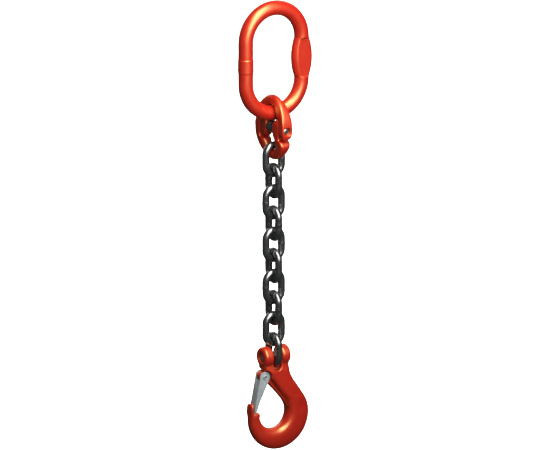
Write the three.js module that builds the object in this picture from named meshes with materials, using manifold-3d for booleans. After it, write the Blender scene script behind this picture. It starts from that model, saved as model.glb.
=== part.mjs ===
// Single-leg chain sling: an oblong master link, a two-half coupling link, ten chain links and a
// clevis sling hook with a sprung latch. Millimetres, +Z up. The origin is the crane-hook seat, the
// inside top of the master link, and everything else hangs straight below it. The master link, the
// odd chain links and the hook lie in the XZ plane; the coupling link and the even links lie in the
// YZ plane. The hook's tip points to -X.
import * as THREE from "three";
import { mergeVertices } from "three/addons/utils/BufferGeometryUtils.js";
import Module from "manifold-3d";

// Driving dimensions
const GAP = 0.3; // running clearance between pieces that touch

const MASTER_WIRE_R = 10.5;
const MASTER_HALF_WIDTH = 46.25; // to the middle of the wire
const MASTER_INNER_LENGTH = 130;
const WELD_BAND_R = 11.1;
const WELD_BAND_LENGTH = 19;
const WELD_BAND_MIDDLE = -2.5; // just below the middle of its leg
const FLAT_LENGTH = 54;
const FLAT_HALF_THICKNESS = 7.9;
const FLAT_HALF_WIDTH = 9.5;
const FLAT_BULGE = 16.5; // half-width of the section at the middle of the flat

const COUPLER_CROWN_INNER = 31.6; // from the load pin to the inside of each bow
const COUPLER_CROWN_OUTER = 46.7;
const COUPLER_CROWN_HALF_X = 6.2;
const COUPLER_EAR_HALF_X = 8.6;
const COUPLER_EAR_INNER_Y = 8.2; // inner ear: from here ...
const COUPLER_EAR_SPLIT_Y = 24.2; // ... to here, and the outer ear starts just beyond
const COUPLER_OUTER_Y = 37;
const COUPLER_PIN_R = 5.3;
const COUPLER_PIN_HALF_LENGTH = 34;
const SLEEVE_R = 8.4;

const LINK_WIRE_R = 5.3;
const LINK_HALF_WIDTH = 13; // to the middle of the wire
const LINK_PITCH = 31;
const LINK_COUNT = 10;

const CLEVIS_PIN_R = 6.5;
const CLEVIS_PIN_HALF_LENGTH = 19;
const EAR_R = 15;
const EAR_OUTER_X = 21.7;
const EAR_EDGE_R = 3.4;
const SLOT_LIP = 4; // how far the ears are chamfered where they face the slot
const SLOT_HALF_WIDTH = 6.7;
const SLOT_FLOOR = 19.4; // below the clevis pin
const HOOK_HALF_THICKNESS = 13.5;
const NECK_HALF_THICKNESS = 11.2; // between the clevis bosses and the shank
const BOWL_INNER = { x: -2.2, z: -83.6, r: 23.2 };
const BOWL_OUTER = { x: 7, z: -89.7, r: 49.7 };
const SHANK_TAPER = 0.2; // how much thinner the bar is at its outer edge than at its inner one
const BOWL_TAPER = 0.36;
const TIP_LEDGE_Z = -80.6;
const TIP_HALF_THICKNESS = 8.6;
const LUG_HALF_THICKNESS = 5; // thin front edge of the shank, which the latch straddles

const PIVOT = { x: -19, z: -27.7 }; // latch pivot, from the clevis pin
const PIVOT_PIN_R = 2.4;
const LATCH_TOP_R = 8;
const LATCH_HALF_WIDTH = 7.8;
const LATCH_SHEET = 2.1;
const SPRING_WIRE_R = 0.55;
const SPRING_COIL_R = 3.8;
const SPRING_FLOOR_Y = 0.9;

// Levels of the chain's joints, worked down from the origin
const MASTER_CENTRE_Z = -MASTER_INNER_LENGTH / 2;
const MASTER_HALF_STRAIGHT = MASTER_INNER_LENGTH / 2 - MASTER_HALF_WIDTH + MASTER_WIRE_R;
const COUPLER_Z = -MASTER_INNER_LENGTH + GAP - COUPLER_CROWN_INNER;
const LINK_HALF_STRAIGHT = (LINK_PITCH + GAP) / 2 - LINK_HALF_WIDTH + LINK_WIRE_R;
const LINK_HALF_INNER = (LINK_PITCH + GAP) / 2;
const FIRST_LINK_Z = COUPLER_Z - COUPLER_CROWN_INNER + GAP - LINK_HALF_INNER;
const LAST_LINK_Z = FIRST_LINK_Z - (LINK_COUNT - 1) * LINK_PITCH;
const HOOK_Z = LAST_LINK_Z - LINK_HALF_INNER + GAP + CLEVIS_PIN_R;

const wasm = await Module();
wasm.setup();

// ---- Solids: three.js geometry in and out of manifold-3d, for joins and cuts only

function toSolid(geometry) {
  const bare = new THREE.BufferGeometry();
  const source = geometry.index ? geometry.toNonIndexed() : geometry;
  bare.setAttribute("position", source.getAttribute("position"));
  const merged = mergeVertices(bare, 1e-4);
  return new wasm.Manifold(
    new wasm.Mesh({
      numProp: 3,
      vertProperties: merged.attributes.position.array,
      triVerts: new Uint32Array(merged.index.array),
    }),
  );
}

function toGeometry(solid) {
  const mesh = solid.getMesh();
  const geometry = new THREE.BufferGeometry();
  geometry.setAttribute("position", new THREE.BufferAttribute(mesh.vertProperties, 3));
  geometry.setIndex(new THREE.BufferAttribute(mesh.triVerts, 1));
  geometry.computeVertexNormals();
  return geometry;
}

function join(first, ...others) {
  const sum = others.reduce((solid, other) => solid.add(toSolid(other)), toSolid(first));
  return toGeometry(sum);
}

function cut(first, ...tools) {
  const rest = tools.reduce((solid, tool) => solid.subtract(toSolid(tool)), toSolid(first));
  return toGeometry(rest);
}

// ---- Shape helpers

// A skin through rings of points, closed on itself or capped at its two ends.
function loft(rings, closed) {
  const sides = rings[0].length;
  const points = rings.flat();
  const faces = [];
  const spans = closed ? rings.length : rings.length - 1;
  for (let i = 0; i < spans; i++) {
    const here = i * sides;
    const next = ((i + 1) % rings.length) * sides;
    for (let k = 0; k < sides; k++) {
      const side = (k + 1) % sides;
      faces.push(here + k, next + k, next + side);
      faces.push(here + k, next + side, here + side);
    }
  }
  if (!closed) {
    const last = (rings.length - 1) * sides;
    for (let k = 1; k < sides - 1; k++) {
      faces.push(0, k, k + 1);
      faces.push(last, last + k + 1, last + k);
    }
  }
  const geometry = new THREE.BufferGeometry().setFromPoints(points);
  geometry.setIndex(faces);
  geometry.computeVertexNormals();
  return geometry;
}

// A ring across a bar, from its inner point to its outer point, halfDepth thick each way. A
// roundness of 2 is an ellipse, and more is squarer. A taper thins the bar towards its outer point.
function barRing(inner, outer, halfDepth, depthAxis, roundness, sides, taper = 0) {
  const centre = inner.clone().add(outer).multiplyScalar(0.5);
  const half = outer.clone().sub(inner).multiplyScalar(0.5);
  const ring = [];
  for (let k = 0; k < sides; k++) {
    const angle = (2 * Math.PI * (k + 0.5)) / sides;
    const c = Math.cos(angle);
    const s = Math.sin(angle);
    const across = Math.sign(c) * Math.abs(c) ** (2 / roundness);
    const thinned = halfDepth * (1 - (taper * (across + 1)) / 2);
    const deep = Math.sign(s) * Math.abs(s) ** (2 / roundness) * thinned;
    ring.push(centre.clone().addScaledVector(half, across).addScaledVector(depthAxis, deep));
  }
  return ring;
}

// A cylinder between two places on an axis: "x" or "y".
function rod(axis, from, to, radius, sides = 24) {
  const geometry = new THREE.CylinderGeometry(radius, radius, to - from, sides);
  geometry.translate(0, (from + to) / 2, 0);
  return axis === "x" ? geometry.rotateZ(-Math.PI / 2) : geometry;
}

// A turned piece on an axis: "x" or "y". The profile is [radius, place] pairs.
function turned(axis, profile, sides = 24) {
  const points = profile.map(([radius, place]) => new THREE.Vector2(radius, place));
  const geometry = new THREE.LatheGeometry(points, sides);
  return axis === "x" ? geometry.rotateZ(-Math.PI / 2) : geometry;
}

// A plate in the XZ plane, from an outline of that plane, between two places along Y.
function plate(shape, fromY, toY, curveSegments = 10) {
  const options = { depth: toY - fromY, bevelEnabled: false, curveSegments };
  const geometry = new THREE.ExtrudeGeometry(shape, options);
  return geometry.rotateX(Math.PI / 2).translate(0, toY, 0);
}

function outline(points) {
  return new THREE.Shape(points.map(([x, z]) => new THREE.Vector2(x, z)));
}

// ---- Oblong links: master link and chain links

// Stations round an oblong in the XZ plane: each has its place and its outward direction.
function oblongStations(halfWidth, halfStraight, arcSteps, rightLegStops, leftLegStops) {
  const stations = [];
  const leg = (side, z) => {
    const direction = new THREE.Vector3(side, 0, 0);
    stations.push({ place: new THREE.Vector3(side * halfWidth, 0, z), direction, side, z });
  };
  const bow = (centreZ, startAngle) => {
    for (let i = 0; i <= arcSteps; i++) {
      const angle = startAngle + (Math.PI * i) / arcSteps;
      const direction = new THREE.Vector3(Math.cos(angle), 0, Math.sin(angle));
      const place = direction.clone().multiplyScalar(halfWidth);
      place.z += centreZ;
      stations.push({ place, direction, side: 0, z: place.z });
    }
  };
  rightLegStops.forEach((z) => leg(1, z));
  bow(halfStraight, 0);
  leftLegStops.forEach((z) => leg(-1, z));
  bow(-halfStraight, Math.PI);
  return stations;
}

function roundSection(station, radius, sides) {
  const ring = [];
  for (let k = 0; k < sides; k++) {
    const angle = (2 * Math.PI * k) / sides;
    const point = station.place.clone().addScaledVector(station.direction, radius * Math.cos(angle));
    point.y -= radius * Math.sin(angle);
    ring.push(point);
  }
  return ring;
}

// The pressed flat: both broad faces are plane, and the squeezed metal bulges out at the sides.
function flatSection(station, halfWidth, sides) {
  const ring = [];
  const flatEnd = (3 * Math.PI) / 8;
  for (let k = 0; k < sides; k++) {
    const angle = (2 * Math.PI * k) / sides;
    const c = Math.cos(angle);
    const s = Math.sin(angle);
    const fromSide = Math.acos(Math.min(1, Math.abs(c)));
    const onEnd = fromSide <= flatEnd + 1e-6;
    const turn = (fromSide / flatEnd) * (Math.PI / 2);
    const edge = halfWidth * (FLAT_HALF_WIDTH / FLAT_BULGE);
    const across = onEnd ? edge + (halfWidth - edge) * Math.cos(turn) : 0;
    const deep = onEnd ? Math.sin(turn) : 1;
    const point = station.place.clone();
    point.addScaledVector(station.direction, Math.sign(c) * across);
    point.y -= Math.sign(s) * deep * FLAT_HALF_THICKNESS;
    ring.push(point);
  }
  return ring;
}

function masterLinkGeometry() {
  const sides = 16;
  const flatSteps = 8;
  const shoulder = 1.6;
  const flatStops = [];
  for (let i = 0; i <= flatSteps; i++) {
    flatStops.push(-FLAT_LENGTH / 2 + (FLAT_LENGTH * i) / flatSteps);
  }
  const halfBand = WELD_BAND_LENGTH / 2;
  const bandStops = [halfBand + 1, halfBand, -halfBand, -halfBand - 1].map((z) => z + WELD_BAND_MIDDLE);
  const stations = oblongStations(MASTER_HALF_WIDTH, MASTER_HALF_STRAIGHT, 14, flatStops, bandStops);
  const rings = [];
  for (const station of stations) {
    const inFlat = station.side === 1;
    const inBand = station.side === -1 && Math.abs(station.z - WELD_BAND_MIDDLE) <= halfBand;
    if (!inFlat) {
      rings.push(roundSection(station, inBand ? WELD_BAND_R : MASTER_WIRE_R, sides));
      continue;
    }
    const t = (2 * station.z) / FLAT_LENGTH;
    const halfWidth = MASTER_WIRE_R + 0.8 + (FLAT_BULGE - MASTER_WIRE_R - 0.8) * (1 - t * t);
    const ring = flatSection(station, halfWidth, sides);
    const shoulderStation = { ...station, place: station.place.clone() };
    shoulderStation.place.z += Math.sign(station.z) * shoulder;
    if (t === -1) rings.push(roundSection(shoulderStation, MASTER_WIRE_R, sides));
    rings.push(ring);
    if (t === 1) rings.push(roundSection(shoulderStation, MASTER_WIRE_R, sides));
  }
  return loft(rings, true);
}

function chainLinkGeometry() {
  const stations = oblongStations(LINK_HALF_WIDTH, LINK_HALF_STRAIGHT, 8, [], []);
  return loft(stations.map((station) => roundSection(station, LINK_WIRE_R, 12)), true);
}

// ---- Coupling link

// One forged half, bow up, with its load pin on the Y axis: its -Y leg ends in the outer ear and
// its +Y leg in the inner ear, so that two halves turned end to end interleave on the pin.
function couplerHalfGeometry() {
  const earStart = COUPLER_EAR_SPLIT_Y + GAP;
  const deep = COUPLER_EAR_HALF_X;
  // [outer y, outer z, inner y, inner z, half-thickness along X]
  const stations = [
    [-33.5, -13, -earStart - 0.5, -13, 2],
    [-35.2, -11.2, -earStart, -11.2, 5.2],
    [-36.4, -8, -earStart, -8, 7.4],
    [-COUPLER_OUTER_Y, -3, -earStart, -3, deep],
    [-COUPLER_OUTER_Y, 5, -earStart, 5, deep],
    [-36.2, 13, -earStart, 16.6, deep],
    [-33.6, 22, -18, 18.6, 8],
    [-28.6, 31, -14.6, 21, 7.5],
    [-20.6, 39, -10.6, 27.4, 7],
    [-10.6, 44.9, -5.6, 30.6, COUPLER_CROWN_HALF_X],
    [0, COUPLER_CROWN_OUTER, 0, COUPLER_CROWN_INNER, COUPLER_CROWN_HALF_X],
    [10.6, 44.9, 5.6, 30.6, COUPLER_CROWN_HALF_X],
    [20.6, 39, 10.6, 27.4, 7],
    [28.6, 31, 14.4, 21.4, 7.5],
    [32.6, 22.6, 13.2, 18, 8],
    [30.6, 16.4, 12.6, 15, deep],
    [COUPLER_EAR_SPLIT_Y, 14, COUPLER_EAR_INNER_Y + 2.8, 12, deep],
    [COUPLER_EAR_SPLIT_Y, 8, COUPLER_EAR_INNER_Y, 8, deep],
    [COUPLER_EAR_SPLIT_Y, -6, COUPLER_EAR_INNER_Y, -6, deep],
    [COUPLER_EAR_SPLIT_Y, -9.5, COUPLER_EAR_INNER_Y + 2.3, -9.5, deep - 0.6],
    [COUPLER_EAR_SPLIT_Y, -13, COUPLER_EAR_INNER_Y + 4, -13, 6.2],
    [COUPLER_EAR_SPLIT_Y - 0.5, -16, COUPLER_EAR_INNER_Y + 4.5, -16, 2],
  ];
  const depthAxis = new THREE.Vector3(1, 0, 0);
  const rings = stations.map(([outerY, outerZ, innerY, innerZ, halfX]) => {
    const inner = new THREE.Vector3(0, innerY, innerZ);
    const outer = new THREE.Vector3(0, outerY, outerZ);
    const atEar = innerZ < 16.7;
    return barRing(inner, outer, halfX, depthAxis, atEar ? 4.5 : 2.2, 16);
  });
  const bore = rod("y", -COUPLER_OUTER_Y - 5, COUPLER_OUTER_Y + 5, COUPLER_PIN_R + GAP);
  return cut(loft(rings.reverse(), false), bore);
}

function pinGeometry(axis, radius, halfLength, chamfer) {
  return turned(axis, [
    [0, -halfLength],
    [radius - chamfer, -halfLength],
    [radius, -halfLength + chamfer],
    [radius, halfLength - chamfer],
    [radius - chamfer, halfLength],
    [0, halfLength],
  ]);
}

function sleeveGeometry() {
  const half = COUPLER_EAR_INNER_Y - 2 * GAP;
  const bore = COUPLER_PIN_R + GAP;
  return turned("y", [
    [bore, -half],
    [SLEEVE_R - 0.8, -half],
    [SLEEVE_R, -half + 0.8],
    [SLEEVE_R, half - 0.8],
    [SLEEVE_R - 0.8, half],
    [bore, half],
    [bore, -half],
  ]);
}

// ---- Clevis hook, drawn about its clevis pin

const RETAINER = { x: 13.8, z: 6.4, r: 2, fromY: -4, toY: 12.2 };
const PIN_GROOVE_R = 4.1;

// The bow of the hook from the clevis down the shank, round the bowl and up to the tip.
function hookBarGeometry() {
  const thick = HOOK_HALF_THICKNESS;
  // shank: [inner x, inner z, outer x, outer z, half-thickness, roundness]
  const shank = [
    [-20.5, 0, 20.5, 0, NECK_HALF_THICKNESS, 4.5],
    [-20.7, -8.5, 20.6, -8.5, NECK_HALF_THICKNESS, 4.5],
    [-20.4, -15.5, 21.2, -15.5, NECK_HALF_THICKNESS + 1, 4.8],
    [-17.8, -20.4, 22, -20.9, thick - 0.3, 5],
    [-14.5, -24.4, 23.4, -27.4, thick, 5],
    [-7.5, -33.9, 28.4, -36.4, thick, 5],
    [1, -45.4, 36, -46.9, thick, 4.5],
    [9.2, -55.8, 43.4, -57.4, thick, 4],
    [15.5, -63.9, 50, -67.4, thick, 3.6],
  ];
  const rings = [];
  const depthAxis = new THREE.Vector3(0, 1, 0);
  const addRing = (innerX, innerZ, outerX, outerZ, halfY, roundness, taper) => {
    const inner = new THREE.Vector3(innerX, 0, innerZ);
    const outer = new THREE.Vector3(outerX, 0, outerZ);
    rings.push(barRing(inner, outer, halfY, depthAxis, roundness, 20, taper));
  };
  shank.forEach((station, i) => addRing(...station, SHANK_TAPER * (i / shank.length)));
  const bowlSteps = 17;
  for (let i = 0; i <= bowlSteps; i++) {
    const t = i / bowlSteps;
    const angle = THREE.MathUtils.degToRad(14 - 184 * t);
    const narrowing = THREE.MathUtils.smoothstep(t, 0.45, 1);
    const halfY = THREE.MathUtils.lerp(thick + 0.5, TIP_HALF_THICKNESS, narrowing);
    addRing(
      BOWL_INNER.x + BOWL_INNER.r * Math.cos(angle),
      BOWL_INNER.z + BOWL_INNER.r * Math.sin(angle),
      BOWL_OUTER.x + BOWL_OUTER.r * Math.cos(angle),
      BOWL_OUTER.z + BOWL_OUTER.r * Math.sin(angle),
      halfY,
      THREE.MathUtils.lerp(3.4, 2.4, Math.min(1, 2 * t)),
      THREE.MathUtils.lerp(BOWL_TAPER, 0, narrowing),
    );
  }
  addRing(-24.9, -84.4, -42.4, -84.8, TIP_HALF_THICKNESS, 2.6, 0);
  addRing(-25.4, TIP_LEDGE_Z, -42.2, TIP_LEDGE_Z, TIP_HALF_THICKNESS - 0.6, 2.8, 0);
  return loft(rings, false);
}

// The lip outside the latch's tip.
function tipLipGeometry() {
  // [inner x, outer x, z, half-thickness]
  const stations = [
    [-36.6, -40.6, -87.4, 5.8],
    [-37, -41.5, -78.9, 6.8],
    [-37.1, -41.7, -75.4, 7.8],
    [-36.6, -41.4, -70.4, 7.8],
    [-36.3, -40.8, -67.4, 6.6],
    [-36.9, -39.9, -65.6, 4.2],
  ];
  const depthAxis = new THREE.Vector3(0, 1, 0);
  const rings = stations.map(([innerX, outerX, z, halfY]) => {
    const inner = new THREE.Vector3(innerX, 0, z);
    const outer = new THREE.Vector3(outerX, 0, z);
    return barRing(inner, outer, halfY, depthAxis, 2.8, 16);
  });
  return loft(rings.reverse(), false);
}

// The two round bosses of the clevis, as one turned piece that the slot then parts.
function clevisBossGeometry() {
  const profile = [[0, -EAR_OUTER_X]];
  const edgeSteps = 4;
  for (let i = 0; i <= edgeSteps; i++) {
    const angle = (Math.PI / 2) * (i / edgeSteps);
    const radius = EAR_R - EAR_EDGE_R + EAR_EDGE_R * Math.sin(angle);
    profile.push([radius, -EAR_OUTER_X + EAR_EDGE_R * (1 - Math.cos(angle))]);
  }
  profile.push([EAR_R, -SLOT_HALF_WIDTH - SLOT_LIP]);
  profile.push([EAR_R - 0.3 * SLOT_LIP, -SLOT_HALF_WIDTH - 0.3 * SLOT_LIP]);
  profile.push([EAR_R - SLOT_LIP, -SLOT_HALF_WIDTH]);
  const mirrored = profile.map(([radius, place]) => [radius, -place]).reverse();
  return turned("x", [...profile, ...mirrored], 32);
}

// The thin lug and front edge of the shank, which the latch closes round.
function latchLugGeometry() {
  const lugR = LATCH_TOP_R - 0.7;
  const shape = new THREE.Shape();
  shape.absarc(PIVOT.x, PIVOT.z, lugR, Math.PI * 0.45, Math.PI * 1.75, false);
  shape.lineTo(-6.5, -43.5);
  shape.lineTo(5, -56.1);
  shape.lineTo(13.7, -66.7);
  shape.lineTo(19.6, -76.4);
  shape.lineTo(32, -79.4);
  shape.lineTo(14, -41.4);
  shape.lineTo(0, -21.4);
  shape.lineTo(-10, -15.4);
  return plate(shape, -LUG_HALF_THICKNESS, LUG_HALF_THICKNESS);
}

// Room in the lug's +Y side for the torsion spring: its coil, the swing of its long leg and a
// groove for its short leg. Outlines are about the pivot.
function springPocketGeometries() {
  const open = LUG_HALF_THICKNESS + 1;
  const coilRoom = rod("y", SPRING_FLOOR_Y, open, SPRING_COIL_R + SPRING_WIRE_R + 0.7, 20);
  const legRoom = outline([[-5.4, 2], [-10, 0], [-10, -10], [2, -10], [1, 0]]);
  const groove = outline([[3.8, 3.4], [8.4, -4.6], [6.6, -5.7], [1.9, 2.3]]);
  return [
    coilRoom,
    plate(legRoom, SPRING_FLOOR_Y, open),
    plate(groove, 3.7, open),
  ].map((room) => room.translate(PIVOT.x, 0, PIVOT.z));
}

function slotGeometry() {
  const shape = new THREE.Shape();
  const roundZ = -SLOT_FLOOR + SLOT_HALF_WIDTH;
  shape.moveTo(SLOT_HALF_WIDTH, EAR_R + 6);
  shape.lineTo(-SLOT_HALF_WIDTH, EAR_R + 6);
  shape.lineTo(-SLOT_HALF_WIDTH, roundZ);
  shape.absarc(0, roundZ, SLOT_HALF_WIDTH, Math.PI, 2 * Math.PI, false);
  return plate(shape, -20, 20);
}

function hookBodyGeometry() {
  const body = join(hookBarGeometry(), clevisBossGeometry(), tipLipGeometry());
  const pocketR = LATCH_TOP_R + 1.8;
  const lugFace = LUG_HALF_THICKNESS;
  const pockets = [-1, 1].map((side) => {
    const near = side * (lugFace - 0.4);
    const far = side * (HOOK_HALF_THICKNESS + 3);
    const pocket = rod("y", Math.min(near, far), Math.max(near, far), pocketR, 32);
    return pocket.translate(PIVOT.x, 0, PIVOT.z);
  });
  const pocketed = cut(body, ...pockets);
  return cut(
    join(pocketed, latchLugGeometry()),
    ...springPocketGeometries(),
    slotGeometry(),
    rod("x", -EAR_OUTER_X - 4, EAR_OUTER_X + 4, CLEVIS_PIN_R + GAP, 28),
    rod("y", RETAINER.fromY - GAP, 20, RETAINER.r + GAP, 16).translate(RETAINER.x, 0, RETAINER.z),
    rod("y", -lugFace - 2, lugFace + 2, PIVOT_PIN_R + GAP, 20).translate(PIVOT.x, 0, PIVOT.z),
  );
}

function clevisPinGeometry() {
  const half = CLEVIS_PIN_HALF_LENGTH;
  const chamfer = 1.2;
  const grooveHalf = RETAINER.r + 2 * GAP;
  return turned("x", [
    [0, -half],
    [CLEVIS_PIN_R - chamfer, -half],
    [CLEVIS_PIN_R, -half + chamfer],
    [CLEVIS_PIN_R, RETAINER.x - grooveHalf - 0.6],
    [PIN_GROOVE_R, RETAINER.x - grooveHalf],
    [PIN_GROOVE_R, RETAINER.x + grooveHalf],
    [CLEVIS_PIN_R, RETAINER.x + grooveHalf + 0.6],
    [CLEVIS_PIN_R, half - chamfer],
    [CLEVIS_PIN_R - chamfer, half],
    [0, half],
  ]);
}

// A rolled spring pin: a tube with a chamfer at each end.
function retainerGeometry() {
  const bore = 0.9;
  const chamfer = 0.4;
  return turned("y", [
    [bore, RETAINER.fromY],
    [RETAINER.r - chamfer, RETAINER.fromY],
    [RETAINER.r, RETAINER.fromY + chamfer],
    [RETAINER.r, RETAINER.toY - chamfer],
    [RETAINER.r - chamfer, RETAINER.toY],
    [bore, RETAINER.toY],
    [bore, RETAINER.fromY],
  ], 16);
}

// ---- Latch: a pressed channel with its web outside and a flange each side of the lug

function latchOutline() {
  const shape = new THREE.Shape();
  shape.absarc(PIVOT.x, PIVOT.z, LATCH_TOP_R, -0.45, Math.PI + 0.1, false);
  shape.lineTo(-34.2, -63.4);
  shape.lineTo(-36.4, -74.9);
  shape.lineTo(-35.8, -77.4);
  shape.lineTo(-32.6, -77.4);
  shape.lineTo(-31.2, -74.4);
  shape.lineTo(-28.3, -66.8);
  shape.lineTo(-24.6, -58.4);
  shape.lineTo(-17.6, -43.4);
  return shape;
}

function latchGeometry() {
  const half = LATCH_HALF_WIDTH;
  const inside = half - LATCH_SHEET;
  const channel = outline([
    [-27 + LATCH_SHEET, -32.4],
    [-34.2 + LATCH_SHEET, -63.4],
    [-36.4 + LATCH_SHEET, -74.9],
    [-33.6, -81.4],
    [0, -81.4],
    [0, -11.4],
    [-45, -11.4],
    [-45, -32.4],
  ]);
  return cut(
    plate(latchOutline(), -half, half, 14),
    plate(channel, -inside, inside),
    rod("y", -half - 1, half + 1, PIVOT_PIN_R + GAP, 20).translate(PIVOT.x, 0, PIVOT.z),
  );
}

function pivotPinGeometry() {
  const seat = LATCH_HALF_WIDTH + GAP;
  const headR = 3.6;
  const headEnd = seat + 0.9;
  return turned("y", [
    [0, -headEnd],
    [headR - 0.5, -headEnd],
    [headR, -seat],
    [PIVOT_PIN_R, -seat],
    [PIVOT_PIN_R, seat],
    [headR, seat],
    [headR - 0.5, headEnd],
    [0, headEnd],
  ], 20);
}

// Torsion spring: a close coil round the pivot pin, with a long leg down the latch's web and a
// short leg in the groove of the lug.
class TorsionSpringCurve extends THREE.Curve {
  getPoint(t, target = new THREE.Vector3()) {
    const longLeg = 17;
    const shortLeg = 6.5;
    const startAngle = THREE.MathUtils.degToRad(167.5);
    const endAngle = THREE.MathUtils.degToRad(30 - 2 * 360);
    const coilLength = (startAngle - endAngle) * SPRING_COIL_R;
    const along = t * (longLeg + coilLength + shortLeg);
    const onCoil = THREE.MathUtils.clamp(along - longLeg, 0, coilLength);
    const past = along - longLeg - onCoil;
    const angle = startAngle - onCoil / SPRING_COIL_R;
    const lead = 1.25 / (2 * Math.PI * SPRING_COIL_R);
    target.x = PIVOT.x + SPRING_COIL_R * Math.cos(angle) + past * Math.sin(angle);
    target.y = SPRING_FLOOR_Y + GAP + SPRING_WIRE_R + lead * onCoil;
    target.z = PIVOT.z + SPRING_COIL_R * Math.sin(angle) - past * Math.cos(angle);
    return target;
  }
}

function latchSpringGeometry() {
  const section = new THREE.Shape();
  section.absarc(0, 0, SPRING_WIRE_R, 0, 2 * Math.PI, false);
  return new THREE.ExtrudeGeometry(section, {
    steps: 60,
    curveSegments: 6,
    extrudePath: new TorsionSpringCurve(),
  });
}

// ---- Materials and assembly

const paint = new THREE.MeshStandardMaterial({ color: 0xd8321a, roughness: 0.38, metalness: 0.1 });
const blackChain = new THREE.MeshStandardMaterial({ color: 0x1c1e20, roughness: 0.42, metalness: 0.7 });
const zincPlate = new THREE.MeshStandardMaterial({ color: 0x9aa3a6, roughness: 0.36, metalness: 0.85 });
const pinSteel = new THREE.MeshStandardMaterial({ color: 0xa7a39a, roughness: 0.42, metalness: 0.9 });
const springSteel = new THREE.MeshStandardMaterial({ color: 0x6f7478, roughness: 0.3, metalness: 0.95 });

const sling = new THREE.Group();

function add(parent, name, geometry, material) {
  const mesh = new THREE.Mesh(geometry, material);
  mesh.name = name;
  parent.add(mesh);
  return mesh;
}

add(sling, "master_link", masterLinkGeometry(), paint).position.z = MASTER_CENTRE_Z;

const coupler = new THREE.Group();
coupler.position.z = COUPLER_Z;
sling.add(coupler);
const couplerHalf = couplerHalfGeometry();
add(coupler, "coupler_upper_half", couplerHalf, paint);
add(coupler, "coupler_lower_half", couplerHalf, paint).rotation.x = Math.PI;
const couplerPin = pinGeometry("y", COUPLER_PIN_R, COUPLER_PIN_HALF_LENGTH, 1.2);
add(coupler, "coupler_load_pin", couplerPin, pinSteel);
add(coupler, "coupler_locking_sleeve", sleeveGeometry(), zincPlate);

const linkGeometry = chainLinkGeometry();
for (let i = 0; i < LINK_COUNT; i++) {
  const name = "chain_link_" + String(i + 1).padStart(2, "0");
  const link = add(sling, name, linkGeometry, blackChain);
  link.position.z = FIRST_LINK_Z - i * LINK_PITCH;
  link.rotation.z = i % 2 === 0 ? 0 : Math.PI / 2;
}

const hook = new THREE.Group();
hook.position.z = HOOK_Z;
sling.add(hook);
add(hook, "hook_body", hookBodyGeometry(), paint);
add(hook, "clevis_load_pin", clevisPinGeometry(), pinSteel);
const retainer = add(hook, "clevis_retaining_pin", retainerGeometry(), springSteel);
retainer.position.set(RETAINER.x, 0, RETAINER.z);
add(hook, "latch", latchGeometry(), zincPlate);
const pivotPin = add(hook, "latch_pivot_pin", pivotPinGeometry(), zincPlate);
pivotPin.position.set(PIVOT.x, 0, PIVOT.z);
add(hook, "latch_spring", latchSpringGeometry(), springSteel);

export default sling;
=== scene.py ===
"""A single-leg chain sling: master link, coupling link, chain and clevis hook with latch.

The sling hangs straight down along Z from the inside top of its master link. Shapes are drawn in
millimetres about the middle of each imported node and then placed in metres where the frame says.
"""
import math

import bmesh
import bpy
import numpy as np
from mathutils import Matrix, Vector


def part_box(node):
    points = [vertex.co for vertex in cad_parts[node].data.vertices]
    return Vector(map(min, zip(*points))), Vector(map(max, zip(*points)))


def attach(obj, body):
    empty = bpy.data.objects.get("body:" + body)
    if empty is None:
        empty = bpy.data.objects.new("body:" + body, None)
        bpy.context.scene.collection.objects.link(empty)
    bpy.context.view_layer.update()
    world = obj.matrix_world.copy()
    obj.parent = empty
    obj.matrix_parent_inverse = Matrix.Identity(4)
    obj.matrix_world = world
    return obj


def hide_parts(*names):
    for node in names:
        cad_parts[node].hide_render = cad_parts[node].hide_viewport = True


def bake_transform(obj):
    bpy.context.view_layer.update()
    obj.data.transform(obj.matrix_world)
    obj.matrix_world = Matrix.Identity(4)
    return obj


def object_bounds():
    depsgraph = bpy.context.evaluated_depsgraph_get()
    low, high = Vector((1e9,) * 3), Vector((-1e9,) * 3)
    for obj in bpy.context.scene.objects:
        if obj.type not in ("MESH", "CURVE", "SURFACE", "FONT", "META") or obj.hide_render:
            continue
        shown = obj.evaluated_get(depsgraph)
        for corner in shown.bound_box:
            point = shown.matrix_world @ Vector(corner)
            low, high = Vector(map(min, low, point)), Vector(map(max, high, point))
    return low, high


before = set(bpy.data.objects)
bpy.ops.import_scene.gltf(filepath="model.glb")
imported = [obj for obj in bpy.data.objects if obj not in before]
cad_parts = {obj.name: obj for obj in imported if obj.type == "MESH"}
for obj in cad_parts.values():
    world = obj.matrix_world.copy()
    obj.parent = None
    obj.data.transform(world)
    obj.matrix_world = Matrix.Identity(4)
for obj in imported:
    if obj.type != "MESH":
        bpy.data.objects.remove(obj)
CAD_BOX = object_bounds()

MM = 0.001
TAU = 2 * math.pi

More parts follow.
